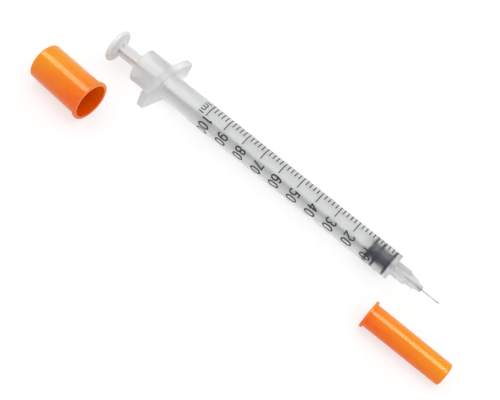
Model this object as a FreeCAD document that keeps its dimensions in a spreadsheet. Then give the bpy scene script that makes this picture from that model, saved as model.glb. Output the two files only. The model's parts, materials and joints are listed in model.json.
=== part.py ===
"""Fixed needle syringe of 1 ml in 100 units, with its two caps taken off and lying beside it.

Millimetres, +Z up. Each piece is drawn along its own X axis: the syringe's pieces towards the
needle from the zero mark, each cap from its mouth to its closed end. The pieces then lie on the
plane Z = 0 as they come to rest, with the origin below the middle of their common box.
"""
import FreeCAD, Part
import Sketcher
import math
import os

SIZES = {
    # barrel
    "scale_length": 57.2,
    "bore_dia": 4.7,
    "barrel_dia": 7.0,
    "front_wall": 1.2,
    "zero_to_wall": 0.4,
    "barrel_edge": 0.25,
    # collar behind the flange, which takes the plunger cap
    "collar_dia": 9.2,
    "collar_wall": 0.75,
    "collar_length": 6.7,
    "collar_edge": 0.2,
    "lead_in_width": 0.6,
    "lead_in_depth": 1.0,
    "bead_height": 0.12,
    "bead_width": 0.6,
    # finger flange, a long hexagon
    "flange_setback": 12.9,
    "flange_thick": 2.0,
    "flange_length": 19.8,
    "flange_width": 10.56,
    "flange_tip_width": 4.96,
    "flange_corner": 0.7,
    "flange_edge": 0.3,
    # finned hub and stepped nose
    "fin_dia": 4.2,
    "fin_thick": 0.7,
    "fin_count": 4,
    "fin_length": 4.1,
    "fin_angle": 81.5,
    "core_dia": 2.5,
    "nose_base_dia": 3.2,
    "nose_step_dia": 2.7,
    "nose_base_length": 2.45,
    "nose_neck_dia": 2.1,
    "nose_tip_dia": 1.5,
    "nose_tip_length": 1.8,
    "nose_edge": 0.2,
    # fluid channel, needle and the glue that holds it
    "channel_dia": 0.8,
    "channel_mouth_dia": 1.6,
    "channel_mouth_depth": 0.5,
    "needle_dia": 0.33,
    "needle_bore_dia": 0.17,
    "needle_held_length": 5.35,
    "needle_out_length": 5.6,
    "needle_hole_gap": 0.01,
    "bevel_length": 1.0,
    "lancet_length": 0.5,
    "lancet_angle": 35.0,
    "well_depth": 1.5,
    "well_dia": 1.0,
    "glue_rise": 0.15,
    # rubber stopper
    "stopper_length": 6.2,
    "stopper_gap": 0.03,
    "stopper_fit": 0.03,
    "ridge_width": 0.6,
    "ridge_height": 0.28,
    "ridge_edge": 0.1,
    "middle_ridge_behind": 3.75,
    # plunger rod, its snap head and thumb press
    "rod_width": 3.6,
    "rib_thick": 0.9,
    "rod_disc_dia": 4.3,
    "rod_disc_thick": 0.8,
    "snap_gap": 0.05,
    "snap_neck_dia": 1.5,
    "snap_neck_length": 1.5,
    "snap_head_dia": 2.4,
    "snap_head_length": 1.6,
    "snap_nose_dia": 1.2,
    "thumb_gap": 7.4,
    "thumb_dia": 8.8,
    "thumb_thick": 1.0,
    "thumb_edge": 0.4,
    "thumb_dome": 0.25,
    "thumb_flat_dia": 4.4,
    "thumb_boss_dia": 5.2,
    "thumb_boss_length": 0.7,
    "rod_angle": 48.5,
    # needle shield
    "shield_length": 22.6,
    "shield_dia": 6.2,
    "shield_end_dia": 6.0,
    "shield_lip_dia": 7.3,
    "shield_fit": 0.05,
    "shield_land_length": 4.4,
    "shield_step_length": 0.4,
    "shield_well_dia": 3.6,
    "shield_well_end_dia": 2.6,
    "shield_end_wall": 1.0,
    # plunger cap
    "cap_length": 16.3,
    "cap_wall": 0.4,
    "cap_lip_dia": 11.0,
    "cap_fit": 0.05,
    "cap_land_length": 6.0,
    "cap_thumb_fit": 0.1,
    "cap_end_wall": 0.9,
    # both caps
    "lip_width": 0.8,
    "lip_edge": 0.2,
    "end_edge": 0.5,
    # where the mouth of each cap lies from the zero mark, and how far the cap is turned
    "shield_ahead": 3.5,
    "shield_aside": 14.5,
    "shield_angle": 0.6,
    "cap_behind": 80.1,
    "cap_aside": 17.6,
    "cap_angle": 175.4,
}


class Size:
    """A dimension known both as a number and as an expression of the sheet's cells."""

    def __init__(self, value, text):
        self.value = value
        self.text = text

    def __add__(self, other):
        return combine(self, "+", other, self.value + number(other))

    def __sub__(self, other):
        return combine(self, "-", other, self.value - number(other))

    def __mul__(self, other):
        return combine(self, "*", other, self.value * number(other))

    def __truediv__(self, other):
        return combine(self, "/", other, self.value / number(other))

    def __neg__(self):
        return Size(-self.value, f"(0 - {self.text})")


ZERO = Size(0.0, "0")


def number(item):
    return item.value if isinstance(item, Size) else item


def combine(left, sign, right, value):
    right_text = right.text if isinstance(right, Size) else str(right)
    return Size(value, f"({left.text} {sign} {right_text})")


def make_sheet(doc):
    """Write the driving dimensions, one a row, and return each as a Size under its name."""
    sheet = doc.addObject("Spreadsheet::Sheet", "sizes")
    for row, (name, value) in enumerate(SIZES.items(), start=1):
        sheet.set(f"A{row}", name)
        sheet.set(f"B{row}", str(value))
        sheet.setAlias(f"B{row}", name)
    doc.recompute()
    return {name: Size(float(sheet.get(name)), f"sizes.{name}") for name in SIZES}


doc = FreeCAD.newDocument("fixed_needle_syringe")
size = make_sheet(doc)

# places along the syringe's axis, from the zero mark
bore_front = size["zero_to_wall"]
front_face = bore_front + size["front_wall"]
fin_end = front_face + size["fin_length"]
nose_step = fin_end + size["nose_base_length"]
nose_tip = nose_step + size["nose_tip_length"]
needle_tip = nose_tip + size["needle_out_length"]
needle_seat = nose_tip - size["needle_held_length"]
well_floor = nose_tip - size["well_depth"]
flange_front = -(size["scale_length"] + size["flange_setback"])
flange_rear = flange_front - size["flange_thick"]
collar_rear = flange_rear - size["collar_length"]
lead_in_end = flange_rear + size["lead_in_depth"]
bead_front = flange_front + size["bead_width"]
stopper_front = bore_front - size["stopper_gap"]
stopper_rear = stopper_front - size["stopper_length"]
rod_disc_front = stopper_rear - size["snap_gap"]
rod_disc_rear = rod_disc_front - size["rod_disc_thick"]
thumb_front = collar_rear - size["thumb_gap"]
thumb_rear = thumb_front - size["thumb_thick"]

# radii
bore_radius = size["bore_dia"] / 2
barrel_radius = size["barrel_dia"] / 2
collar_radius = size["collar_dia"] / 2
fin_radius = size["fin_dia"] / 2
nose_tip_radius = size["nose_tip_dia"] / 2
needle_radius = size["needle_dia"] / 2
needle_hole_radius = needle_radius + size["needle_hole_gap"]
ridge_radius = bore_radius - size["stopper_fit"]
neck_radius = size["snap_neck_dia"] / 2
head_radius = size["snap_head_dia"] / 2
thumb_radius = size["thumb_dia"] / 2


def origin_feature(body, role):
    for feature in body.Origin.OriginFeatures:
        if feature.Role == role:
            return feature
    raise ValueError(f"{body.Name} has no {role}")


def new_body(name):
    body = doc.addObject("PartDesign::Body", name)
    body.Label = name
    return body


def bind(item, prop, amount):
    """Set a property now and tie it to the sheet."""
    setattr(item, prop, amount.value)
    item.setExpression(prop, amount.text)


def hold(sketch, line, kind, amount):
    """Keep the start of one line at its distance from the sketch's origin."""
    if amount is ZERO:
        axis = -2 if kind == "DistanceX" else -1
        sketch.addConstraint(Sketcher.Constraint("PointOnObject", line, 1, axis))
        return
    row = sketch.addConstraint(Sketcher.Constraint(kind, -1, 1, line, 1, amount.value))
    sketch.setExpression(f"Constraints[{row}]", amount.text)


def outline(body, name, role, corners, forward=None, turn=None):
    """Draw a closed outline on an origin plane of the body, each corner tied to the sheet.

    The drawing may be moved along the plane's normal and turned about the body's X axis.
    """
    sketch = body.newObject("Sketcher::SketchObject", name)
    sketch.AttachmentSupport = (origin_feature(body, role), [""])
    sketch.MapMode = "FlatFace"
    lift = FreeCAD.Vector(0, 0, number(forward or ZERO))
    x_axis = (0, 0, 1) if role == "YZ_Plane" else (1, 0, 0)
    roll = FreeCAD.Rotation(FreeCAD.Vector(*x_axis), number(turn or ZERO))
    sketch.AttachmentOffset = FreeCAD.Placement(lift, roll)
    if forward is not None:
        sketch.setExpression("AttachmentOffset.Base.z", forward.text)
    if turn is not None:
        sketch.setExpression("AttachmentOffset.Rotation.Angle", turn.text)
    points = [FreeCAD.Vector(x.value, y.value, 0) for x, y in corners]
    count = len(points)
    for line in range(count):
        sketch.addGeometry(Part.LineSegment(points[line], points[(line + 1) % count]), False)
    for line, (x, y) in enumerate(corners):
        before = (line - 1) % count
        sketch.addConstraint(Sketcher.Constraint("Coincident", before, 2, line, 1))
        hold(sketch, line, "DistanceX", x)
        hold(sketch, line, "DistanceY", y)
    return sketch


def turned(body, name, kind, corners):
    """Turn an outline of the upper half section right round the X axis."""
    sketch = outline(body, f"{name}_outline", "XZ_Plane", corners)
    feature = body.newObject(f"PartDesign::{kind}", name)
    feature.Profile = sketch
    feature.ReferenceAxis = (sketch, ["H_Axis"])
    feature.Angle = 360
    doc.recompute()
    return feature


def raised(body, name, corners, start, length, turn=None):
    """Pad a cross-section from its place along the axis towards the needle."""
    feature = body.newObject("PartDesign::Pad", name)
    feature.Profile = outline(body, f"{name}_outline", "YZ_Plane", corners, start, turn)
    bind(feature, "Length", length)
    doc.recompute()
    return feature


def sliced(body, name, corners, width, turn=None):
    """Cut an outline of the side view away, as wide on each side of the axis."""
    feature = body.newObject("PartDesign::Pocket", name)
    feature.Profile = outline(body, f"{name}_outline", "XZ_Plane", corners, turn=turn)
    feature.Midplane = True
    bind(feature, "Length", width)
    doc.recompute()
    return feature


def ringed(body, name, feature, count):
    """Repeat a feature evenly round the X axis."""
    pattern = body.newObject("PartDesign::PolarPattern", name)
    pattern.Originals = [feature]
    pattern.Axis = (origin_feature(body, "X_Axis"), [""])
    pattern.Angle = 360
    pattern.Occurrences = round(count.value)
    pattern.setExpression("Occurrences", count.text)
    body.Tip = pattern
    doc.recompute()
    return pattern


def rounded(body, name, base, edges, radius):
    feature = body.newObject("PartDesign::Fillet", name)
    feature.Base = (base, edges)
    bind(feature, "Radius", radius)
    doc.recompute()
    return feature


def rims(shape, *places):
    """Names of the circles round the axis at each place and radius."""
    names = []
    for index, edge in enumerate(shape.Edges, start=1):
        if not isinstance(edge.Curve, Part.Circle):
            continue
        centre = edge.Curve.Center
        for x, radius in places:
            near = abs(centre.x - x.value) < 1e-4 and abs(edge.Curve.Radius - radius.value) < 1e-4
            if near and math.hypot(centre.y, centre.z) < 1e-4:
                names.append(f"Edge{index}")
    return names


def flange_edges(shape, along_axis):
    """Names of the flange's tip corners, or of the edges of its two faces."""
    names = []
    faces = (flange_rear.value, flange_front.value)
    for index, edge in enumerate(shape.Edges, start=1):
        middle = edge.valueAt((edge.FirstParameter + edge.LastParameter) / 2)
        if math.hypot(middle.y, middle.z) < collar_radius.value + size["flange_edge"].value / 2:
            continue
        across = any(abs(middle.x - place) < 1e-4 for place in faces)
        inside = faces[0] < middle.x < faces[1] and not across
        at_tip = abs(abs(middle.y) - size["flange_length"].value / 2) < 1e-4
        if (along_axis and inside and at_tip) or (not along_axis and across):
            names.append(f"Edge{index}")
    return names


def make_barrel():
    """Barrel, finger flange, collar and finned nose, moulded in one piece."""
    body = new_body("barrel")
    core_radius = size["core_dia"] / 2
    turned(body, "barrel_outside", "Revolution", [
        (collar_rear, ZERO),
        (collar_rear, collar_radius),
        (flange_rear, collar_radius),
        (flange_rear, barrel_radius),
        (front_face, barrel_radius),
        (front_face, core_radius),
        (fin_end, core_radius),
        (fin_end, size["nose_base_dia"] / 2),
        (nose_step, size["nose_step_dia"] / 2),
        (nose_step, size["nose_neck_dia"] / 2),
        (nose_tip, nose_tip_radius),
        (nose_tip, ZERO),
    ])
    half_length = size["flange_length"] / 2
    half_width = size["flange_width"] / 2
    half_tip = size["flange_tip_width"] / 2
    raised(body, "flange", [
        (half_length, -half_tip),
        (half_length, half_tip),
        (ZERO, half_width),
        (-half_length, half_tip),
        (-half_length, -half_tip),
        (ZERO, -half_width),
    ], flange_rear, size["flange_thick"])
    half_fin = size["fin_thick"] / 2
    fin = raised(body, "fin", [
        (-half_fin, ZERO),
        (half_fin, ZERO),
        (half_fin, fin_radius),
        (-half_fin, fin_radius),
    ], front_face, size["fin_length"], turn=size["fin_angle"])
    ringed(body, "fins", fin, size["fin_count"])
    collar_bore_radius = collar_radius - size["collar_wall"]
    channel_radius = size["channel_dia"] / 2
    inside = turned(body, "barrel_inside", "Groove", [
        (collar_rear, ZERO),
        (collar_rear, collar_bore_radius),
        (flange_rear, collar_bore_radius),
        (flange_rear, bore_radius + size["lead_in_width"]),
        (lead_in_end, bore_radius),
        (flange_front, bore_radius),
        (flange_front + size["bead_width"] / 2, bore_radius - size["bead_height"]),
        (bead_front, bore_radius),
        (bore_front, bore_radius),
        (bore_front, size["channel_mouth_dia"] / 2),
        (bore_front + size["channel_mouth_depth"], channel_radius),
        (needle_seat, channel_radius),
        (needle_seat, needle_hole_radius),
        (well_floor, needle_hole_radius),
        (nose_tip, size["well_dia"] / 2),
        (nose_tip, ZERO),
    ])
    corners = rounded(body, "flange_corners", inside,
                      flange_edges(inside.Shape, along_axis=True), size["flange_corner"])
    plate = rounded(body, "flange_rounding", corners,
                    flange_edges(corners.Shape, along_axis=False), size["flange_edge"])
    collar = rounded(body, "collar_rounding", plate, rims(
        plate.Shape, (collar_rear, collar_radius), (collar_rear, collar_bore_radius)),
        size["collar_edge"])
    front = rounded(body, "front_rounding", collar, rims(
        collar.Shape, (front_face, barrel_radius)), size["barrel_edge"])
    rounded(body, "nose_rounding", front, rims(
        front.Shape, (nose_tip, nose_tip_radius), (nose_step, size["nose_step_dia"] / 2)),
        size["nose_edge"])
    return body


def make_needle():
    """Steel tube with a long bevel and two short lancet cuts at its point."""
    body = new_body("needle")
    turned(body, "tube", "Revolution", [
        (needle_seat, size["needle_bore_dia"] / 2),
        (needle_tip, size["needle_bore_dia"] / 2),
        (needle_tip, needle_radius),
        (needle_seat, needle_radius),
    ])
    above = size["needle_dia"]
    sliced(body, "bevel", [
        (needle_tip - size["bevel_length"], needle_radius),
        (needle_tip, -needle_radius),
        (needle_tip + above, -needle_radius),
        (needle_tip + above, above),
        (needle_tip - size["bevel_length"], above),
    ], size["needle_dia"] * 2)
    for name, turn in (("left_lancet", size["lancet_angle"]), ("right_lancet", -size["lancet_angle"])):
        sliced(body, name, [
            (needle_tip - size["lancet_length"], needle_radius / 4),
            (needle_tip, -needle_radius),
            (needle_tip + above, -needle_radius),
            (needle_tip + above, above),
            (needle_tip - size["lancet_length"], above),
        ], size["needle_dia"] * 2, turn=turn)
    return body


def make_needle_adhesive():
    """Glue that fills the well in the nose round the needle."""
    body = new_body("needle_adhesive")
    turned(body, "glue", "Revolution", [
        (well_floor, needle_radius),
        (well_floor, needle_hole_radius),
        (nose_tip, size["well_dia"] / 2),
        (nose_tip + size["glue_rise"], needle_radius),
    ])
    return body


def make_stopper():
    """Rubber stopper with three sealing ridges and a socket for the rod's snap head."""
    body = new_body("stopper")
    wide = size["ridge_width"]
    slope = size["ridge_height"]
    waist = ridge_radius - slope
    middle = stopper_front - size["middle_ridge_behind"]
    neck_hole = neck_radius + size["snap_gap"]
    head_hole = head_radius + size["snap_gap"]
    socket_step = stopper_rear + size["snap_neck_length"]
    socket_end = socket_step + size["snap_gap"] * 2 + size["snap_head_length"]
    ridges = turned(body, "rubber", "Revolution", [
        (stopper_front, ZERO),
        (stopper_front, ridge_radius),
        (stopper_front - wide, ridge_radius),
        (stopper_front - wide - slope, waist),
        (middle + wide / 2 + slope, waist),
        (middle + wide / 2, ridge_radius),
        (middle - wide / 2, ridge_radius),
        (middle - wide / 2 - slope, waist),
        (stopper_rear + wide + slope, waist),
        (stopper_rear + wide, ridge_radius),
        (stopper_rear, ridge_radius),
        (stopper_rear, neck_hole),
        (socket_step, neck_hole),
        (socket_step, head_hole),
        (socket_end, head_hole),
        (socket_end, ZERO),
    ])
    rounded(body, "ridge_rounding", ridges, rims(
        ridges.Shape,
        (stopper_front, ridge_radius),
        (middle + wide / 2, ridge_radius),
        (middle - wide / 2, ridge_radius),
        (stopper_rear, ridge_radius)), size["ridge_edge"])
    return body


def make_plunger_rod():
    """Cross-shaped rod with a thumb press, a disc behind the stopper and a snap head in it."""
    body = new_body("plunger_rod")
    head_base = stopper_rear + size["snap_neck_length"] + size["snap_gap"]
    head_tip = head_base + size["snap_head_length"]
    turned(body, "front_end", "Revolution", [
        (rod_disc_rear, ZERO),
        (rod_disc_rear, size["rod_disc_dia"] / 2),
        (rod_disc_front, size["rod_disc_dia"] / 2),
        (rod_disc_front, neck_radius),
        (head_base, neck_radius),
        (head_base, head_radius),
        (head_base + size["snap_head_length"] / 3, head_radius),
        (head_tip, size["snap_nose_dia"] / 2),
        (head_tip, ZERO),
    ])
    reach = size["rod_width"] / 2
    half_rib = size["rib_thick"] / 2
    raised(body, "ribs", [
        (reach, -half_rib), (reach, half_rib), (half_rib, half_rib),
        (half_rib, reach), (-half_rib, reach), (-half_rib, half_rib),
        (-reach, half_rib), (-reach, -half_rib), (-half_rib, -half_rib),
        (-half_rib, -reach), (half_rib, -reach), (half_rib, -half_rib),
    ], thumb_front, rod_disc_rear - thumb_front)
    press = turned(body, "thumb_press", "Revolution", [
        (thumb_rear - size["thumb_dome"], ZERO),
        (thumb_rear - size["thumb_dome"], size["thumb_flat_dia"] / 2),
        (thumb_rear, thumb_radius),
        (thumb_front, thumb_radius),
        (thumb_front, size["thumb_boss_dia"] / 2),
        (thumb_front + size["thumb_boss_length"], reach),
        (thumb_front + size["thumb_boss_length"], ZERO),
    ])
    rounded(body, "thumb_rounding", press, rims(
        press.Shape, (thumb_rear, thumb_radius), (thumb_front, thumb_radius)),
        size["thumb_edge"])
    return body


def round_cap(body, cap, lip_radius, end_radius, length):
    """Round the lip and the closed end of a cap."""
    lip = rounded(body, "lip_rounding", cap, rims(
        cap.Shape, (ZERO, lip_radius), (size["lip_width"], lip_radius)), size["lip_edge"])
    rounded(body, "end_rounding", lip, rims(lip.Shape, (length, end_radius)), size["end_edge"])


def make_needle_shield():
    """Slim cap that grips the hub's fins and clears the needle."""
    body = new_body("needle_shield")
    length = size["shield_length"]
    lip_radius = size["shield_lip_dia"] / 2
    end_radius = size["shield_end_dia"] / 2
    land_radius = fin_radius + size["shield_fit"]
    cap = turned(body, "shield", "Revolution", [
        (ZERO, land_radius),
        (ZERO, lip_radius),
        (size["lip_width"], lip_radius),
        (size["lip_width"], size["shield_dia"] / 2),
        (length, end_radius),
        (length, ZERO),
        (length - size["shield_end_wall"], ZERO),
        (length - size["shield_end_wall"], size["shield_well_end_dia"] / 2),
        (size["shield_land_length"] + size["shield_step_length"], size["shield_well_dia"] / 2),
        (size["shield_land_length"], land_radius),
    ])
    round_cap(body, cap, lip_radius, end_radius, length)
    return body


def make_plunger_cap():
    """Wide cap that grips the collar and clears the thumb press."""
    body = new_body("plunger_cap")
    length = size["cap_length"]
    lip_radius = size["cap_lip_dia"] / 2
    land_radius = collar_radius + size["cap_fit"]
    floor_radius = thumb_radius + size["cap_thumb_fit"]
    end_radius = floor_radius + size["cap_wall"]
    cap = turned(body, "cap", "Revolution", [
        (ZERO, land_radius),
        (ZERO, lip_radius),
        (size["lip_width"], lip_radius),
        (size["lip_width"], land_radius + size["cap_wall"]),
        (length, end_radius),
        (length, ZERO),
        (length - size["cap_end_wall"], ZERO),
        (length - size["cap_end_wall"], floor_radius),
        (size["cap_land_length"], land_radius),
    ])
    round_cap(body, cap, lip_radius, end_radius, length)
    return body


def resting(near, far):
    """Tip, in radians, and height of the axis at its zero of a piece that rests on two rims.

    Each rim is the place of its rounding's centre along the axis, how far that centre lies from
    the axis, and the rounding's radius.
    """
    drop = near[1] - far[1]
    run = far[0] - near[0]
    tip = math.atan2(drop, run) - math.asin((far[2] - near[2]) / math.hypot(drop, run))
    height = near[2] + near[0] * math.sin(tip) + near[1] * math.cos(tip)
    return tip, height


def laid(tip, height, ahead=0.0, aside=0.0, turn=0.0, roll=0.0):
    """Placement of a piece that lies on the plane, turned about Z and rolled about its axis."""
    axes = (FreeCAD.Vector(0, 0, 1), FreeCAD.Vector(0, 1, 0), FreeCAD.Vector(1, 0, 0))
    turning = FreeCAD.Rotation(axes[0], turn)
    tipping = FreeCAD.Rotation(axes[1], math.degrees(tip))
    rolling = FreeCAD.Rotation(axes[2], roll)
    return FreeCAD.Placement(FreeCAD.Vector(ahead, aside, height), turning * tipping * rolling)


def syringe_placement(turn=0.0):
    """The syringe rests on one slanted side of its flange and on the front of its barrel.

    A piece that is turned in the barrel has a turn of its own, in degrees.
    """
    half_length = size["flange_length"].value / 2
    half_width = size["flange_width"].value / 2
    slant = math.atan2(half_width - size["flange_tip_width"].value / 2, half_length)
    edge = size["flange_edge"].value
    barrel_edge = size["barrel_edge"].value
    near = (flange_front.value - edge, half_width * math.cos(slant) - edge, edge)
    far = (front_face.value - barrel_edge, barrel_radius.value - barrel_edge, barrel_edge)
    return laid(*resting(near, far), roll=turn - math.degrees(slant))


def cap_placement(lip_radius, end_radius, length, ahead, aside, turn):
    """A cap rests on its lip and on the edge of its closed end."""
    lip_edge = size["lip_edge"].value
    end_edge = size["end_edge"].value
    near = (lip_edge, lip_radius - lip_edge, lip_edge)
    far = (length - end_edge, end_radius - end_edge, end_edge)
    return laid(*resting(near, far), ahead=ahead, aside=aside, turn=turn)


def lay_down(syringe, rod, shield, cap):
    """Lay the pieces on the plane, the origin below the middle of their common box."""
    for body in syringe:
        body.Placement = syringe_placement()
    rod.Placement = syringe_placement(size["rod_angle"].value)
    shield.Placement = cap_placement(
        size["shield_lip_dia"].value / 2, size["shield_end_dia"].value / 2,
        size["shield_length"].value, size["shield_ahead"].value,
        -size["shield_aside"].value, size["shield_angle"].value)
    cap_end_radius = thumb_radius.value + size["cap_thumb_fit"].value + size["cap_wall"].value
    cap.Placement = cap_placement(
        size["cap_lip_dia"].value / 2, cap_end_radius,
        size["cap_length"].value, -size["cap_behind"].value,
        -size["cap_aside"].value, size["cap_angle"].value)
    pieces = [*syringe, rod, shield, cap]
    box = FreeCAD.BoundBox()
    for body in pieces:
        box.add(body.Shape.optimalBoundingBox(False))
    middle = FreeCAD.Vector(box.Center.x, box.Center.y, box.ZMin)
    for body in pieces:
        body.Placement = FreeCAD.Placement(
            body.Placement.Base - middle, body.Placement.Rotation)
    doc.recompute()
    return pieces


def check():
    """Stop if any object failed or any piece's shape is null or not valid."""
    for item in doc.Objects:
        if "Invalid" in item.State or "Error" in item.State:
            raise RuntimeError(f"{item.Name} failed: {item.State}")
    for body in doc.findObjects("PartDesign::Body"):
        if body.Shape.isNull() or not body.Shape.isValid() or len(body.Shape.Solids) != 1:
            raise RuntimeError(f"{body.Label} is not one valid solid")


pieces = lay_down(
    [make_barrel(), make_needle(), make_needle_adhesive(), make_stopper()],
    make_plunger_rod(), make_needle_shield(), make_plunger_cap())
check()
os.makedirs("parts", exist_ok=True)
for body in pieces:
    body.Shape.exportStep(f"parts/{body.Label}.step")
    place = body.Placement
    ahead = place.Rotation.multVec(FreeCAD.Vector(1, 0, 0))
    print(f"{body.Label}: {body.Shape.Volume:.3f} mm3, zero at {tuple(place.Base)}, along {tuple(ahead)}")
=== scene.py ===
"""Looks of a fixed needle syringe with its needle shield and plunger cap lying beside it.

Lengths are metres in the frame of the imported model. Places along the syringe are counted from its
zero mark towards the needle, and angles round it from straight above its axis towards +Y.
"""

import json
import logging
import math
from dataclasses import dataclass
from enum import Enum
from typing import Protocol

import bmesh
import bpy
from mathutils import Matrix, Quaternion, Vector


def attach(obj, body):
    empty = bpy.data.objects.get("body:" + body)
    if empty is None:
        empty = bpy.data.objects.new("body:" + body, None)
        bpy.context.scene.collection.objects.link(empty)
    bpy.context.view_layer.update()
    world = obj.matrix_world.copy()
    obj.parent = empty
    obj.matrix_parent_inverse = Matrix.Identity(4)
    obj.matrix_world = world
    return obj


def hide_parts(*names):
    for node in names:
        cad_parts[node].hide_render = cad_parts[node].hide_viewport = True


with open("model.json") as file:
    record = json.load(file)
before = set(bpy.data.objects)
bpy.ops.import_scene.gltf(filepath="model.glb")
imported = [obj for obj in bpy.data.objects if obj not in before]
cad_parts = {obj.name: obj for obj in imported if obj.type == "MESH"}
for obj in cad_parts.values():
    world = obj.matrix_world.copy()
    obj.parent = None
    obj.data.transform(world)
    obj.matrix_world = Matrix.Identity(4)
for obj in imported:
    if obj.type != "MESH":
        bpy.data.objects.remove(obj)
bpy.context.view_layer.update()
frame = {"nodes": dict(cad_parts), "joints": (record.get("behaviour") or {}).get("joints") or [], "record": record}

MM = 0.001
UP = Vector((0.0, 0.0, 1.0))
ACROSS = Vector((0.0, 1.0, 0.0))
REPORT = logging.getLogger("syringe")

Colour = tuple[float, float, float]
Lengths = tuple[float, float, float]
Point = tuple[float, float]
Stops = tuple[tuple[float, float], ...]


class Slot(Enum):
    """The record's material slots named for the stopper and the ink."""

    STOPPER = "stopper_rubber"
    INK = "scale_ink"


class Shader:
    """The nodes of one material, built outwards from its Principled shader.

    Noise seldom leaves the span from noise_low to noise_high, so tint and polish spread over that span.
    """

    noise_low: float = 0.3
    noise_high: float = 0.7
    ramp_middle: float = 0.5

    def __init__(self, name: str) -> None:
        """Make a material that starts from the usual two nodes.

        Args:
            name: the material's name.
        """
        self.material = bpy.data.materials.new(name)
        self.material.use_nodes = True
        self.nodes = self.material.node_tree.nodes
        self.links = self.material.node_tree.links
        self.surface = self.nodes["Principled BSDF"]
        self.output = self.nodes["Material Output"]

    def set(self, **values: float | Colour) -> None:
        """Set the Principled shader's own sockets.

        Args:
            values: each socket's name, with underscores for spaces, and its value.
        """
        for name, value in values.items():
            socket = self.surface.inputs[name.replace("_", " ")]
            socket.default_value = (*value, 1.0) if socket.type == "RGBA" else value

    def grain(self, cell: Lengths, detail: float = 2.0) -> bpy.types.NodeSocket:
        """Make noise that keeps to the piece as it moves.

        Args:
            cell: how long the noise's cells are along X, Y and Z.
            detail: how many finer layers the noise has.

        Returns:
            The noise's value, from 0 to 1.
        """
        place = self.nodes.new("ShaderNodeTexCoord")
        stretch = self.nodes.new("ShaderNodeMapping")
        stretch.inputs["Scale"].default_value = [1 / length for length in cell]
        noise = self.nodes.new("ShaderNodeTexNoise")
        noise.inputs["Scale"].default_value = 1.0
        noise.inputs["Detail"].default_value = detail
        self.links.new(place.outputs["Object"], stretch.inputs["Vector"])
        self.links.new(stretch.outputs["Vector"], noise.inputs["Vector"])
        return noise.outputs["Fac"]

    def drive(self, name: str, value: bpy.types.NodeSocket) -> None:
        """Let a value from another node set one of the Principled shader's sockets."""
        self.links.new(value, self.surface.inputs[name])

    def blend(self, noise: bpy.types.NodeSocket, dark: Colour, light: Colour) -> bpy.types.NodeSocket:
        """Make a colour that wanders between two colours.

        Args:
            noise: the noise that drives it.
            dark: the colour where the noise is low.
            light: the colour where the noise is high.

        Returns:
            The colour.
        """
        ramp = self.nodes.new("ShaderNodeValToRGB")
        ramp.color_ramp.elements[0].position = self.noise_low
        ramp.color_ramp.elements[0].color = (*dark, 1.0)
        ramp.color_ramp.elements[1].position = self.noise_high
        ramp.color_ramp.elements[1].color = (*light, 1.0)
        self.links.new(noise, ramp.inputs["Fac"])
        return ramp.outputs["Color"]

    def tint(self, noise: bpy.types.NodeSocket, dark: Colour, light: Colour) -> None:
        """Let the base colour wander between two colours."""
        self.drive("Base Color", self.blend(noise, dark, light))

    def product(self, one: bpy.types.NodeSocket, other: bpy.types.NodeSocket) -> bpy.types.NodeSocket:
        """Multiply two colours.

        Args:
            one: the first colour.
            other: the second colour.

        Returns:
            Their product.
        """
        times = self.nodes.new("ShaderNodeVectorMath")
        times.operation = "MULTIPLY"
        self.links.new(one, times.inputs[0])
        self.links.new(other, times.inputs[1])
        return times.outputs["Vector"]

    def polish(self, noise: bpy.types.NodeSocket, smooth: float, rough: float) -> None:
        """Let the roughness wander between two values.

        Args:
            noise: the noise that drives it.
            smooth: the roughness where the noise is low.
            rough: the roughness where the noise is high.
        """
        spread = self.nodes.new("ShaderNodeMapRange")
        spread.inputs["From Min"].default_value = self.noise_low
        spread.inputs["From Max"].default_value = self.noise_high
        spread.inputs["To Min"].default_value = smooth
        spread.inputs["To Max"].default_value = rough
        self.links.new(noise, spread.inputs["Value"])
        self.drive("Roughness", spread.outputs["Result"])

    def relief(self, noise: bpy.types.NodeSocket, depth: float) -> None:
        """Raise the surface a little where the noise is high.

        Args:
            noise: the noise that drives it.
            depth: how high the relief is.
        """
        bump = self.nodes.new("ShaderNodeBump")
        bump.inputs["Strength"].default_value = 1.0
        bump.inputs["Distance"].default_value = depth
        self.links.new(noise, bump.inputs["Height"])
        self.drive("Normal", bump.outputs["Normal"])

    def along(self, stops: Stops) -> bpy.types.NodeSocket:
        """Make a value that changes along the piece's X axis.

        Args:
            stops: places along X in order, each with the value there. Between them it changes evenly.

        Returns:
            The value.
        """
        places = [place for place, _ in stops]
        place = self.nodes.new("ShaderNodeTexCoord")
        split = self.nodes.new("ShaderNodeSeparateXYZ")
        share = self.nodes.new("ShaderNodeMapRange")
        share.inputs["From Min"].default_value = places[0]
        share.inputs["From Max"].default_value = places[-1]
        ramp = self.nodes.new("ShaderNodeValToRGB")
        elements = ramp.color_ramp.elements
        while len(elements) < len(stops):
            elements.new(self.ramp_middle)
        for element, (at, value) in zip(elements, stops):
            element.position = (at - places[0]) / (places[-1] - places[0])
            element.color = (value, value, value, 1.0)
        self.links.new(place.outputs["Object"], split.inputs["Vector"])
        self.links.new(split.outputs["X"], share.inputs["Value"])
        self.links.new(share.outputs["Result"], ramp.inputs["Fac"])
        return ramp.outputs["Color"]

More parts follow.
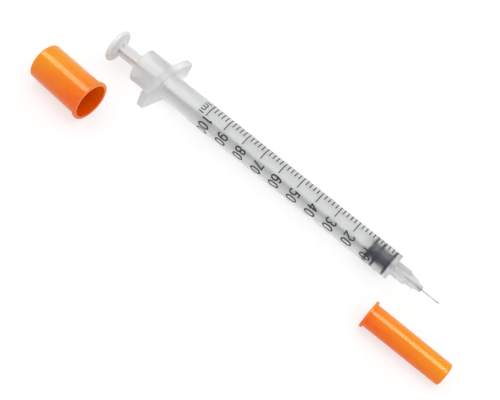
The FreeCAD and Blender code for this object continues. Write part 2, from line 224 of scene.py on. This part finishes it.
    def slope(self, start: Vector, rise: Vector) -> bpy.types.NodeSocket:
        """Make a value that rises evenly in one direction.

        Args:
            start: where the value is 0, in the piece's own coordinates.
            rise: which way the value rises, and by how much a metre.

        Returns:
            The value.
        """
        place = self.nodes.new("ShaderNodeTexCoord")
        away = self.nodes.new("ShaderNodeVectorMath")
        away.operation = "SUBTRACT"
        away.inputs[1].default_value = start
        climb = self.nodes.new("ShaderNodeVectorMath")
        climb.operation = "DOT_PRODUCT"
        climb.inputs[1].default_value = rise
        self.links.new(place.outputs["Object"], away.inputs[0])
        self.links.new(away.outputs["Vector"], climb.inputs[0])
        return climb.outputs["Value"]

    def mixed(self, one: bpy.types.NodeSocket, other: bpy.types.NodeSocket,
              share: float) -> bpy.types.NodeSocket:
        """Mix two values.

        Args:
            one: the first value.
            other: the second value.
            share: how much of the second value there is in the mix, from 0 to 1.

        Returns:
            The mix.
        """
        mix = self.nodes.new("ShaderNodeMix")
        mix.inputs["Factor"].default_value = share
        self.links.new(one, mix.inputs["A"])
        self.links.new(other, mix.inputs["B"])
        return mix.outputs["Result"]

    def let_lamps_through(self, colour: Colour) -> None:
        """Let lamp light reach what the piece holds, tinted by the piece.

        Args:
            colour: the tint of the light that comes through.
        """
        path = self.nodes.new("ShaderNodeLightPath")
        clear = self.nodes.new("ShaderNodeBsdfTransparent")
        clear.inputs["Color"].default_value = (*colour, 1.0)
        either = self.nodes.new("ShaderNodeMixShader")
        self.links.new(path.outputs["Is Shadow Ray"], either.inputs["Fac"])
        self.links.new(self.surface.outputs["BSDF"], either.inputs[1])
        self.links.new(clear.outputs["BSDF"], either.inputs[2])
        self.links.new(either.outputs["Shader"], self.output.inputs["Surface"])


class Finish(Protocol):
    """A finish that pieces can be dressed in."""

    def material(self) -> bpy.types.Material:
        """Make the finish and return it as a material."""


@dataclass(frozen=True)
class BarrelPolypropylene:
    """Clear polypropylene, frosted, with flow marks; its thick ends scatter more light.

    Painted shade darkens the colour by the stopper and towards the nose, and clearness lets light through it. Both
    are given for places along X.
    """

    dark: Colour = (0.84, 0.845, 0.845)
    light: Colour = (0.90, 0.905, 0.905)
    gloss: float = 0.25
    smooth: float = 0.32
    rough: float = 0.46
    refraction: float = 1.49
    lamp_tint: Colour = (0.96, 0.96, 0.96)
    flow_mark: Lengths = (6 * MM, 0.9 * MM, 0.9 * MM)
    flow_depth: float = 0.004 * MM
    # Painted shade: the colour is darkened round the stopper, in front of it, at the hub and at the nose.
    shade: Stops = (
        (27 * MM, 1.0),  # tube
        (29 * MM, 0.87), (35.3 * MM, 0.87),  # round the stopper
        (35.8 * MM, 0.79), (36.8 * MM, 0.79),  # in front of it
        (37.2 * MM, 0.91), (40.2 * MM, 0.91),  # hub
        (40.8 * MM, 0.85),  # nose
    )
    clearness: Stops = (
        (-34 * MM, 0.84),  # flange and collar
        (-30 * MM, 0.88), (10 * MM, 0.88),  # tube
        (28 * MM, 0.98), (36 * MM, 0.98),  # round the stopper
        (38 * MM, 0.72),  # hub and nose
    )

    def material(self) -> bpy.types.Material:
        """Make the finish.

        Returns:
            Its material.
        """
        shader = Shader("barrel_polypropylene")
        flow = shader.grain(self.flow_mark)
        # The base colour is multiplied by the painted shade.
        shade = shader.along(self.shade)
        shader.drive("Base Color", shader.product(shader.blend(flow, self.dark, self.light), shade))
        shader.polish(flow, self.smooth, self.rough)
        shader.relief(flow, self.flow_depth)
        shader.set(IOR=self.refraction, Specular_Tint=(self.gloss,) * 3)
        shader.drive("Transmission Weight", shader.along(self.clearness))
        shader.let_lamps_through(self.lamp_tint)
        return shader.material


@dataclass(frozen=True)
class RodPolypropylene:
    """White translucent polypropylene, a little matt."""

    dark: Colour = (0.70, 0.705, 0.705)
    light: Colour = (0.76, 0.765, 0.765)
    cloud: Lengths = (3 * MM, 1 * MM, 1 * MM)
    speck: float = 0.3 * MM
    speck_depth: float = 0.003 * MM
    smooth: float = 0.34
    rough: float = 0.46
    refraction: float = 1.49
    scatter: float = 0.8
    scatter_reach: float = 1.5 * MM
    reach_of_colours: Colour = (1.0, 1.0, 1.0)

    def material(self) -> bpy.types.Material:
        """Make the finish.

        Returns:
            Its material.
        """
        shader = Shader("rod_polypropylene")
        cloud = shader.grain(self.cloud)
        shader.tint(cloud, self.dark, self.light)
        shader.polish(cloud, self.smooth, self.rough)
        shader.relief(shader.grain((self.speck,) * 3), self.speck_depth)
        shader.set(IOR=self.refraction, Subsurface_Weight=self.scatter,
                   Subsurface_Scale=self.scatter_reach, Subsurface_Radius=self.reach_of_colours)
        return shader.material


@dataclass(frozen=True)
class StopperRubber:
    """Slate grey rubber, matt."""

    dark: Colour = (0.010, 0.015, 0.036)
    light: Colour = (0.019, 0.028, 0.058)
    mottle: float = 0.5 * MM
    speck: float = 0.08 * MM
    speck_depth: float = 0.003 * MM
    smooth: float = 0.42
    rough: float = 0.58
    refraction: float = 1.52

    def material(self) -> bpy.types.Material:
        """Make the finish.

        Returns:
            Its material.
        """
        shader = Shader("stopper_rubber")
        mottle = shader.grain((self.mottle,) * 3)
        shader.tint(mottle, self.dark, self.light)
        shader.polish(mottle, self.smooth, self.rough)
        shader.relief(shader.grain((self.speck,) * 3), self.speck_depth)
        shader.set(IOR=self.refraction)
        return shader.material


@dataclass(frozen=True)
class NeedleSteel:
    """Drawn stainless steel, with fine marks along the tube."""

    dark: Colour = (0.30, 0.305, 0.31)
    light: Colour = (0.44, 0.445, 0.45)
    drawn_mark: Lengths = (1.5 * MM, 0.03 * MM, 0.03 * MM)
    mark_depth: float = 0.0006 * MM
    smooth: float = 0.22
    rough: float = 0.38

    def material(self) -> bpy.types.Material:
        """Make the finish.

        Returns:
            Its material.
        """
        shader = Shader("needle_steel")
        marks = shader.grain(self.drawn_mark)
        shader.tint(marks, self.dark, self.light)
        shader.polish(marks, self.smooth, self.rough)
        shader.relief(marks, self.mark_depth)
        shader.set(Metallic=1.0)
        return shader.material


@dataclass(frozen=True)
class ClearAdhesive:
    """Cured clear glue with a faint warm tint."""

    dark: Colour = (0.84, 0.83, 0.77)
    light: Colour = (0.92, 0.92, 0.88)
    cloud: float = 0.4 * MM
    smooth: float = 0.04
    rough: float = 0.12
    refraction: float = 1.5
    clearness: float = 0.9
    lamp_tint: Colour = (0.9, 0.9, 0.86)

    def material(self) -> bpy.types.Material:
        """Make the finish.

        Returns:
            Its material.
        """
        shader = Shader("clear_adhesive")
        cloud = shader.grain((self.cloud,) * 3)
        shader.tint(cloud, self.dark, self.light)
        shader.polish(cloud, self.smooth, self.rough)
        shader.set(IOR=self.refraction, Transmission_Weight=self.clearness)
        shader.let_lamps_through(self.lamp_tint)
        return shader.material


@dataclass(frozen=True)
class CapShape:
    """How a cap lies: its mouth, the way out of it, and the cap's length and radius."""

    mouth: Vector
    outward: Vector
    length: float
    radius: float

    @classmethod
    def of_node(cls, node: str, mount: str) -> "CapShape":
        """Read a cap's shape from the frame.

        Args:
            node: the cap's node.
            mount: the record's mount at its mouth.

        Returns:
            The shape.
        """
        place = next(item for item in frame["record"]["mounts"] if item["name"] == mount)
        mouth = Vector(place["pos_m"])
        outward = Vector(place["axis"]).normalized()
        ways = [vertex.co - mouth for vertex in frame["nodes"][node].data.vertices]
        length = max(-way.dot(outward) for way in ways)
        radius = max(way.cross(outward).length for way in ways)
        return cls(mouth, outward, length, radius)


@dataclass(frozen=True)
class OrangePolyethylene:
    """Glossy orange polyethylene.

    Its colour holds painted light: yellower on top and at the closed end, where light would fall through it.
    """

    cap: CapShape
    red: Colour = (0.96, 0.135, 0.0)
    yellow: Colour = (0.96, 0.31, 0.002)
    share_of_length: float = 0.35
    share_of_flow: float = 0.22
    gloss: Colour = (1.0, 0.78, 0.46)
    shine: float = 0.6
    smooth: float = 0.11
    rough: float = 0.17
    refraction: float = 1.5
    flow_mark: Lengths = (5 * MM, 1.2 * MM, 1.2 * MM)
    flow_depth: float = 0.0015 * MM
    scatter: float = 0.25
    scatter_reach: float = 0.8 * MM
    reach_of_colours: Colour = (1.0, 0.35, 0.05)

    def material(self) -> bpy.types.Material:
        """Make the finish.

        Returns:
            Its material.
        """
        shader = Shader("orange_polyethylene")
        flow = shader.grain(self.flow_mark)
        # Painted light, mixed with a little of the flow marks' own tone, sets the colour.
        painted_light_and_flow = shader.mixed(self.light_through(shader), flow, self.share_of_flow)
        shader.tint(painted_light_and_flow, self.red, self.yellow)
        shader.polish(flow, self.smooth, self.rough)
        shader.relief(shader.grain(self.flow_mark, detail=0.0), self.flow_depth)
        shader.set(IOR=self.refraction, Specular_IOR_Level=self.shine, Specular_Tint=self.gloss,
                   Subsurface_Weight=self.scatter, Subsurface_Scale=self.scatter_reach,
                   Subsurface_Radius=self.reach_of_colours)
        return shader.material

    def light_through(self, shader: Shader) -> bpy.types.NodeSocket:
        """Make the painted light, a value that rises from the underside at the mouth to the top of the closed end.

        Args:
            shader: the shader that takes the value.

        Returns:
            The value, from 0 to 1.
        """
        aside = self.cap.outward.cross(UP)
        aside = aside if aside.y > 0 else -aside
        top = (aside + UP).normalized()
        rise = top * (1 - self.share_of_length) / (2 * self.cap.radius)
        rise -= self.cap.outward * self.share_of_length / self.cap.length
        return shader.slope(self.cap.mouth - top * self.cap.radius, rise)


class Coat(Enum):
    """How thickly ink lies, each as its darkest and its lightest colour."""

    FULL = ((0.012, 0.012, 0.014), (0.035, 0.035, 0.04))
    THIN = ((0.035, 0.035, 0.038), (0.07, 0.07, 0.075))


@dataclass(frozen=True)
class PrintInk:
    """Dark grey screen printing ink, a little uneven in its cover."""

    coat: Coat = Coat.FULL
    patch: float = 0.12 * MM
    patch_detail: float = 3.0
    smooth: float = 0.4
    rough: float = 0.6

    def material(self) -> bpy.types.Material:
        """Make the finish.

        Returns:
            Its material.
        """
        shader = Shader("print_ink")
        cover = shader.grain((self.patch,) * 3, self.patch_detail)
        shader.tint(cover, *self.coat.value)
        shader.polish(cover, self.smooth, self.rough)
        return shader.material


@dataclass(frozen=True)
class PaleFloor:
    """White floor that shows as paper white and keeps the soft shadows of what lies on it."""

    grey: float = 0.8
    unevenness: float = 0.01
    patch: float = 40 * MM
    roughness: float = 0.9
    shine: float = 0.0
    own_light: float = 1.25
    share_of_own_light: float = 0.5

    def material(self) -> bpy.types.Material:
        """Make the finish.

        Returns:
            Its material.
        """
        shader = Shader("pale_floor")
        patches = shader.grain((self.patch,) * 3)
        shader.tint(patches, (self.grey,) * 3, (self.grey + self.unevenness,) * 3)
        shader.set(Roughness=self.roughness, Specular_IOR_Level=self.shine)
        glow = shader.nodes.new("ShaderNodeEmission")
        glow.inputs["Strength"].default_value = self.own_light
        share = shader.nodes.new("ShaderNodeMath")
        share.operation = "MULTIPLY"
        share.inputs[1].default_value = self.share_of_own_light
        shader.links.new(seen_rays(shader.nodes, shader.links), share.inputs[0])
        seen = shader.nodes.new("ShaderNodeMixShader")
        shader.links.new(share.outputs["Value"], seen.inputs["Fac"])
        shader.links.new(shader.surface.outputs["BSDF"], seen.inputs[1])
        shader.links.new(glow.outputs["Emission"], seen.inputs[2])
        shader.links.new(seen.outputs["Shader"], shader.output.inputs["Surface"])
        return shader.material


def seen_rays(nodes: bpy.types.Nodes, links: bpy.types.NodeLinks) -> bpy.types.NodeSocket:
    """Tell the rays that show a surface from those that only light others.

    Args:
        nodes: the nodes of the tree that asks.
        links: the links of that tree.

    Returns:
        A value of 1 for rays from the camera, off a gloss or through glass, and else 0.
    """
    path = nodes.new("ShaderNodeLightPath")
    value = path.outputs["Is Camera Ray"]
    for name in ("Is Glossy Ray", "Is Transmission Ray"):
        larger = nodes.new("ShaderNodeMath")
        larger.operation = "MAXIMUM"
        links.new(value, larger.inputs[0])
        links.new(path.outputs[name], larger.inputs[1])
        value = larger.outputs["Value"]
    return value


@dataclass(frozen=True)
class SyringeAxis:
    """The line down the middle of the syringe, from its zero mark towards the needle."""

    zero: Vector
    ahead: Vector

    @classmethod
    def of_joint(cls, name: str) -> "SyringeAxis":
        """Read the axis from a joint, the one that the plunger rod turns on."""
        joint = next(item for item in frame["joints"] if item["name"] == name)
        return cls(Vector(joint["pos_m"]), Vector(joint["axis"]).normalized())

    def out(self, angle: float) -> Vector:
        """Return the direction that leaves the axis at that angle, in radians."""
        above = self.ahead.cross(ACROSS)
        return above * math.cos(angle) + ACROSS * math.sin(angle)

    def at(self, along: float, angle: float, radius: float) -> Vector:
        """Return the point at that place along the axis, angle round it and distance from it."""
        return self.zero + self.ahead * along + self.out(angle) * radius

    def foot(self, point: Vector) -> Vector:
        """Return the point of the axis that is nearest to another point."""
        return self.zero + self.ahead * (point - self.zero).dot(self.ahead)

    def distance(self, point: Vector) -> float:
        """Return how far a point lies from the axis."""
        return (point - self.zero).cross(self.ahead).length


@dataclass(frozen=True)
class Arc:
    """Part of an ellipse, its angles in degrees counter-clockwise from the right."""

    centre: Point
    radii: Point
    start: float
    end: float

    def points(self, step: float = 15.0) -> list[Point]:
        """Divide the arc.

        Args:
            step: about how many degrees lie between two points.

        Returns:
            Points along the arc.
        """
        sweep = self.end - self.start
        count = max(2, round(abs(sweep) / step))
        turns = [math.radians(self.start + sweep * i / count) for i in range(count + 1)]
        return [(self.centre[0] + self.radii[0] * math.cos(turn),
                 self.centre[1] + self.radii[1] * math.sin(turn)) for turn in turns]


@dataclass(frozen=True)
class Corners:
    """Straight runs from corner to corner."""

    places: tuple[Point, ...]

    def points(self) -> list[Point]:
        """Return the corners."""
        return list(self.places)


@dataclass(frozen=True)
class Stroke:
    """One stroke of the pen, through its parts in turn, in a box of 1 by 1."""

    parts: tuple[Arc | Corners, ...]
    closed: bool = False
    same_place: float = 1e-3

    def points(self) -> list[Point]:
        """Follow the stroke, with points that fall together taken once.

        Returns:
            The points of its middle line.
        """
        path: list[Point] = []
        for part in self.parts:
            for point in part.points():
                if not path or math.dist(path[-1], point) > self.same_place:
                    path.append(point)
        if self.closed and math.dist(path[0], path[-1]) < self.same_place:
            path.pop()
        return path

    def half_turned(self) -> "Stroke":
        """Return the stroke turned upside down about the middle of its box."""
        turned = [(1 - x, 1 - y) for x, y in self.points()]
        return Stroke((Corners(tuple(turned)),), self.closed)


def line(*places: Point) -> Stroke:
    """Return a stroke of straight runs."""
    return Stroke((Corners(places),))


def ring(centre: Point, radii: Point) -> Stroke:
    """Return a stroke that goes once round an ellipse."""
    return Stroke((Arc(centre, radii, 0.0, 360.0),), closed=True)


class Glyph(Enum):
    """The figures and letters of the scale, each as pen strokes in a box of 1 by 1."""

    NOUGHT = (Stroke((Arc((0.5, 0.62), (0.5, 0.38), 0, 180),
                      Arc((0.5, 0.38), (0.5, 0.38), 180, 360)), closed=True),)
    ONE = (line((0.22, 0.84), (0.5, 1.0), (0.5, 0.0)),)
    TWO = (Stroke((Arc((0.49, 0.72), (0.46, 0.28), 165, -35), Corners(((0.0, 0.0), (1.0, 0.0))))),)
    THREE = (Stroke((Arc((0.46, 0.76), (0.42, 0.24), 150, -90),)),
             Stroke((Arc((0.46, 0.26), (0.5, 0.26), 90, -150),)))
    FOUR = (line((0.72, 0.0), (0.72, 1.0)), line((0.72, 1.0), (0.0, 0.3), (1.0, 0.3)))
    FIVE = (Stroke((Corners(((0.9, 1.0), (0.2, 1.0), (0.1, 0.55))),
                    Arc((0.46, 0.33), (0.52, 0.33), 132, -145))),)
    SIX = (ring((0.5, 0.31), (0.5, 0.31)),
           Stroke((Arc((0.52, 0.42), (0.52, 0.58), 50, 180), Corners(((0.0, 0.31),)))))
    SEVEN = (line((0.0, 1.0), (1.0, 1.0), (0.3, 0.0)),)
    EIGHT = (ring((0.5, 0.76), (0.42, 0.24)), ring((0.5, 0.27), (0.5, 0.27)))
    NINE = tuple(stroke.half_turned() for stroke in SIX)
    LETTER_M = (line((0.0, 0.0), (0.0, 0.8)),
                Stroke((Arc((0.25, 0.55), (0.25, 0.25), 180, 0), Corners(((0.5, 0.0),)))),
                Stroke((Arc((0.75, 0.55), (0.25, 0.25), 180, 0), Corners(((1.0, 0.0),)))))
    LETTER_L = (line((0.0, 0.0), (0.0, 1.0)),)


DIGITS = (Glyph.NOUGHT, Glyph.ONE, Glyph.TWO, Glyph.THREE, Glyph.FOUR,
          Glyph.FIVE, Glyph.SIX, Glyph.SEVEN, Glyph.EIGHT, Glyph.NINE)


@dataclass
class InkSheet:
    """Thin ink on the barrel, drawn flat and laid round the barrel stroke by stroke.

    A sharp corner is blunted where the cosine of half its turn is below mitre_limit.
    """

    name: str
    axis: SyringeAxis
    lean: float = 0.011
    surface_radius: float = 3.5 * MM
    stand: float = 0.012 * MM
    sunk: float = 0.03 * MM
    step: float = 0.13 * MM
    mitre_limit: float = 0.5

    def __post_init__(self) -> None:
        """Start with an empty mesh."""
        self.mesh = bmesh.new()

    def stroke(self, path: list[Point], width: float, closed: bool = False) -> None:
        """Lay one stroke of ink.

        Args:
            path: points of its middle line, each a place along the syringe and a distance round
                the barrel from straight above, towards -Y.
            width: how wide the stroke is.
            closed: whether the stroke ends where it starts.
        """
        fine = self.divided(path, closed)
        sides = self.sides(fine, width / 2, closed)
        low, high = self.surface_radius - self.sunk, self.surface_radius + self.stand
        rings = []
        for left, right in sides:
            corners = [(left, low), (right, low), (right, high), (left, high)]
            rings.append([self.mesh.verts.new(self.wrapped(place, radius)) for place, radius in corners])
        pairs = list(zip(rings, rings[1:]))
        if closed:
            pairs.append((rings[-1], rings[0]))
        for first, second in pairs:
            for i in range(len(first)):
                j = (i + 1) % len(first)
                self.mesh.faces.new((first[i], first[j], second[j], second[i]))
        if not closed:
            self.mesh.faces.new(rings[0])
            self.mesh.faces.new(reversed(rings[-1]))

    def divided(self, path: list[Point], closed: bool) -> list[Point]:
        """Divide a path so that it follows the barrel's round.

        Args:
            path: the points of the path.
            closed: whether the path ends where it starts.

        Returns:
            The path with its points close together.
        """
        ends = path[1:] + path[:1] if closed else path[1:]
        fine = []
        for start, end in zip(path, ends):
            count = max(1, math.ceil(math.dist(start, end) / self.step))
            for i in range(count):
                share = i / count
                fine.append((start[0] + (end[0] - start[0]) * share,
                             start[1] + (end[1] - start[1]) * share))
        return fine if closed else fine + [path[-1]]

    def sides(self, path: list[Point], half: float, closed: bool) -> list[tuple[Point, Point]]:
        """Find both edges of a stroke, with mitred corners.

        Args:
            path: the points of its middle line.
            half: half the stroke's width.
            closed: whether the stroke ends where it starts.

        Returns:
            The points on the left and right of each point.
        """
        count = len(path)
        pairs = []
        for i, (x, y) in enumerate(path):
            before = path[i - 1] if closed or i > 0 else None
            after = path[(i + 1) % count] if closed or i < count - 1 else None
            runs = [heading(before, (x, y))] if before else []
            runs += [heading((x, y), after)] if after else []
            tangent = heading((0.0, 0.0), (sum(run[0] for run in runs), sum(run[1] for run in runs)))
            cosine = tangent[0] * runs[0][0] + tangent[1] * runs[0][1]
            reach = half / max(self.mitre_limit, cosine)
            pairs.append(((x - tangent[1] * reach, y + tangent[0] * reach),
                          (x + tangent[1] * reach, y - tangent[0] * reach)))
        return pairs

    def wrapped(self, place: Point, radius: float) -> Vector:
        """Return where a flat point comes to lie, at that distance from the axis."""
        along, aside = place
        return self.axis.at(along, (self.lean * along - aside) / self.surface_radius, radius)

    def glyph(self, glyph: Glyph, corner: Point, size: Point, width: float) -> None:
        """Lay a figure or letter whose top points towards the needle.

        Args:
            glyph: what to draw.
            corner: its lower left corner, as a place along the syringe and a distance round it.
            size: how far its middle lines reach across and up.
            width: how wide the pen is.
        """
        for stroke in glyph.value:
            path = [(corner[0] + y * size[1], corner[1] + x * size[0]) for x, y in stroke.points()]
            self.stroke(path, width, stroke.closed)

    def piece(self, finish: PrintInk) -> bpy.types.Object:
        """Turn the ink into a piece that rides on the barrel.

        Args:
            finish: the ink's finish.

        Returns:
            The new piece.
        """
        bmesh.ops.recalc_face_normals(self.mesh, faces=self.mesh.faces)
        data = bpy.data.meshes.new(self.name)
        self.mesh.to_mesh(data)
        self.mesh.free()
        data.materials.append(finish.material())
        ink = bpy.data.objects.new(self.name, data)
        bpy.context.scene.collection.objects.link(ink)
        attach(ink, "barrel")
        return ink


def heading(start: Point, end: Point) -> Point:
    """Return the direction from one flat point to another, one unit long."""
    length = math.dist(start, end)
    return ((end[0] - start[0]) / length, (end[1] - start[1]) / length)


@dataclass
class PrintedScale:
    """The scale of 100 units on the barrel: its lines, its numbers and its unit.

    Angles are degrees from straight above at the zero mark, as the print leans a little. Each letter of
    the unit has its place, from where the unit starts, and its width.
    """

    axis: SyringeAxis
    length: float = 57.2 * MM
    units: int = 100
    line_every: int = 2
    number_every: int = 10
    line_width: float = 0.30 * MM
    lines_ahead: float = 0.21 * MM
    lines_end: float = 50.0
    long_lines_start: float = -20.4
    short_lines_start: float = 11.5
    numbers_length: float = 56.2 * MM
    numbers_behind: float = 1.33 * MM
    numbers_start: float = -32.2
    hundred_start: float = -18.0
    figure_size: Point = (1.14 * MM, 2.72 * MM)
    figure_pitch: float = 1.80 * MM
    pen: float = 0.39 * MM
    unit_behind: float = 59.35 * MM
    unit_start: float = 40.0
    letter_height: float = 1.45 * MM
    letters: tuple[tuple[Glyph, float, float], ...] = (
        (Glyph.ONE, 0.0, 0.6 * MM),
        (Glyph.LETTER_M, 1.1 * MM, 1.7 * MM),
        (Glyph.LETTER_L, 3.5 * MM, 0.0),
    )
    unit_pen: float = 0.30 * MM

    def round_by(self, angle: float) -> float:
        """Return the distance round the barrel from straight above to an angle in degrees."""
        return -math.radians(angle) * InkSheet.surface_radius

    def lines(self) -> bpy.types.Object:
        """Build the lines, a longer one at each number.

        Returns:
            The piece.
        """
        sheet = InkSheet("scale_lines", self.axis)
        for units in range(0, self.units + 1, self.line_every):
            start = self.short_lines_start if units % self.number_every else self.long_lines_start
            place = self.lines_ahead - self.length * units / self.units
            ends = [self.round_by(self.lines_end), self.round_by(start)]
            sheet.stroke([(place, end) for end in ends], self.line_width)
        return sheet.piece(PrintInk(Coat.THIN))

    def numbers(self) -> bpy.types.Object:
        """Build the numbers, which read from the top of the barrel downwards.

        Returns:
            The piece.
        """
        sheet = InkSheet("scale_numbers", self.axis)
        for units in range(self.number_every, self.units + 1, self.number_every):
            place = -self.numbers_length * units / self.units - self.numbers_behind
            start = self.hundred_start if units == self.units else self.numbers_start
            for i, figure in enumerate(str(units)):
                corner = (place, self.round_by(start) + self.pen / 2 + i * self.figure_pitch)
                sheet.glyph(DIGITS[int(figure)], corner, self.figure_size, self.pen)
        return sheet.piece(PrintInk())

    def unit(self) -> bpy.types.Object:
        """Build the small unit behind the last line.

        Returns:
            The piece.
        """
        sheet = InkSheet("scale_unit", self.axis)
        start = self.round_by(self.unit_start)
        for glyph, place, width in self.letters:
            corner = (-self.unit_behind, start + place)
            sheet.glyph(glyph, corner, (width, self.letter_height), self.unit_pen)
        return sheet.piece(PrintInk())


@dataclass
class PressedStopper:
    """The rubber stopper with its sealing ridges pressed against the bore."""

    axis: SyringeAxis
    node: str = "stopper"
    ridge_radius: float = 2.32 * MM
    pressed_radius: float = 2.375 * MM
    slack: float = 0.02 * MM

    def build(self) -> bpy.types.Object:
        """Make the stopper in the barrel, where its ridges touch the wall.

        Returns:
            The piece that stands for the loose stopper.
        """
        data = frame["nodes"][self.node].data.copy()
        data.name = "pressed_stopper"
        for vertex in data.vertices:
            radius = self.axis.distance(vertex.co)
            if radius > self.ridge_radius - self.slack:
                foot = self.axis.foot(vertex.co)
                vertex.co = foot + (vertex.co - foot) * (self.pressed_radius / radius)
        data.materials.clear()
        data.materials.append(StopperRubber().material())
        stopper = bpy.data.objects.new("pressed_stopper", data)
        bpy.context.scene.collection.objects.link(stopper)
        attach(stopper, "stopper")
        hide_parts(self.node)
        return stopper


@dataclass
class PackedPieces:
    """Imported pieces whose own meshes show, each by its node's name with its finish."""

    finishes: dict[str, Finish]

    def dress(self) -> list[bpy.types.Object]:
        """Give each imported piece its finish.

        Returns:
            The pieces.
        """
        for name, finish in self.finishes.items():
            material = finish.material()
            for slot in frame["nodes"][name].material_slots:
                slot.material = material
        return [frame["nodes"][name] for name in self.finishes]


@dataclass(frozen=True)
class SoftLamp:
    """A long soft lamp that shines straight down."""

    name: str
    place: Lengths
    size: Point
    power: float
    only_for_gloss: bool = False

    def hang(self) -> None:
        """Hang the lamp in its place.

        A lamp that is only for gloss lights no matt surface and isn't seen through clear pieces.
        """
        data = bpy.data.lights.new(self.name, "AREA")
        data.shape = "RECTANGLE"
        data.size, data.size_y = self.size
        data.energy = self.power
        lamp = bpy.data.objects.new(self.name, data)
        lamp.location = self.place
        lamp.visible_camera = False
        lamp.visible_diffuse = not self.only_for_gloss
        lamp.visible_transmission = not self.only_for_gloss
        bpy.context.scene.collection.objects.link(lamp)


@dataclass
class Studio:
    """The floor, the soft light and the white surroundings."""

    floor_size: float = 4.0
    floor_below: float = 0.01 * MM
    ambient: float = 0.84
    lamps: tuple[SoftLamp, ...] = (
        SoftLamp("overhead_lamp", (0.0, 0.06, 0.40), (0.50, 0.24), 0.38),
        SoftLamp("strip_lamp", (-0.10, 0.03, 0.39), (0.90, 0.18), 2.7, only_for_gloss=True),
    )

    def floor(self) -> bpy.types.Object:
        """Lay the floor under the pieces.

        Returns:
            The floor.
        """
        half = self.floor_size / 2
        data = bpy.data.meshes.new("floor")
        corners = [(-half, -half, 0), (half, -half, 0), (half, half, 0), (-half, half, 0)]
        data.from_pydata(corners, [], [(0, 1, 2, 3)])
        data.materials.append(PaleFloor().material())
        floor = bpy.data.objects.new("floor", data)
        floor.location.z = -self.floor_below
        bpy.context.scene.collection.objects.link(floor)
        return floor

    def light(self) -> None:
        """Hang the lamps."""
        for lamp in self.lamps:
            lamp.hang()

    def surroundings(self) -> None:
        """Make the world white to look at and soft to light by.

        Rays that show it see white. The others get the ambient light.
        """
        world = bpy.data.worlds.new("white_surroundings")
        bpy.context.scene.world = world
        world.use_nodes = True
        nodes, links = world.node_tree.nodes, world.node_tree.links
        background = nodes["Background"]
        background.inputs["Color"].default_value = (1.0, 1.0, 1.0, 1.0)
        strength = nodes.new("ShaderNodeMapRange")
        strength.inputs["To Min"].default_value = self.ambient
        strength.inputs["To Max"].default_value = 1.0
        links.new(seen_rays(nodes, links), strength.inputs["Value"])
        links.new(strength.outputs["Result"], background.inputs["Strength"])


@dataclass
class PhotoCamera:
    """The camera of the photograph, found from the lines of the scale. Its angles are degrees."""

    place: Lengths = (0.041845, -0.133142, 0.220890)
    azimuth: float = 17.904
    elevation: float = 57.967
    roll: float = 23.090
    focal_length: float = 76.63
    film_width: float = 36.0
    nearest: float = 10 * MM

    def build(self) -> bpy.types.Object:
        """Set the camera up as the scene's own.

        Returns:
            The camera.
        """
        data = bpy.data.cameras.new("photo_camera")
        data.lens = self.focal_length
        data.sensor_width = self.film_width
        data.sensor_fit = "HORIZONTAL"
        data.clip_start = self.nearest
        round_z, above = math.radians(self.azimuth), math.radians(self.elevation)
        back = Vector((math.sin(round_z) * math.cos(above), -math.cos(round_z) * math.cos(above),
                       math.sin(above)))
        camera = bpy.data.objects.new("photo_camera", data)
        camera.location = self.place
        camera.rotation_mode = "QUATERNION"
        level = (-back).to_track_quat("-Z", "Y")
        camera.rotation_quaternion = level @ Quaternion((0.0, 0.0, 1.0), math.radians(self.roll))
        bpy.context.scene.collection.objects.link(camera)
        bpy.context.scene.camera = camera
        return camera


def report(piece: bpy.types.Object) -> None:
    """Log a piece with its number of faces."""
    REPORT.info("%s: %d faces", piece.name, len(piece.data.polygons))


def main() -> None:
    """Build and dress the syringe, its caps and the studio.
    """
    logging.basicConfig(level=logging.INFO, format="%(message)s")
    bpy.context.scene.view_settings.view_transform = "Standard"
    PhotoCamera().build()
    studio = Studio()
    studio.surroundings()
    studio.light()
    report(studio.floor())
    axis = SyringeAxis.of_joint("rod_twist")
    syringe = PackedPieces({
        "barrel": BarrelPolypropylene(),
        "plunger_rod": RodPolypropylene(),
        "needle": NeedleSteel(),
        "needle_adhesive": ClearAdhesive(),
    })
    caps = PackedPieces({
        "needle_shield": OrangePolyethylene(CapShape.of_node("needle_shield", "shield_mouth")),
        "plunger_cap": OrangePolyethylene(CapShape.of_node("plunger_cap", "cap_mouth")),
    })
    for piece in syringe.dress() + caps.dress():
        report(piece)
    report(PressedStopper(axis).build())
    scale = PrintedScale(axis)
    for piece in (scale.lines(), scale.numbers(), scale.unit()):
        report(piece)


if __name__ == "__main__":
    main()
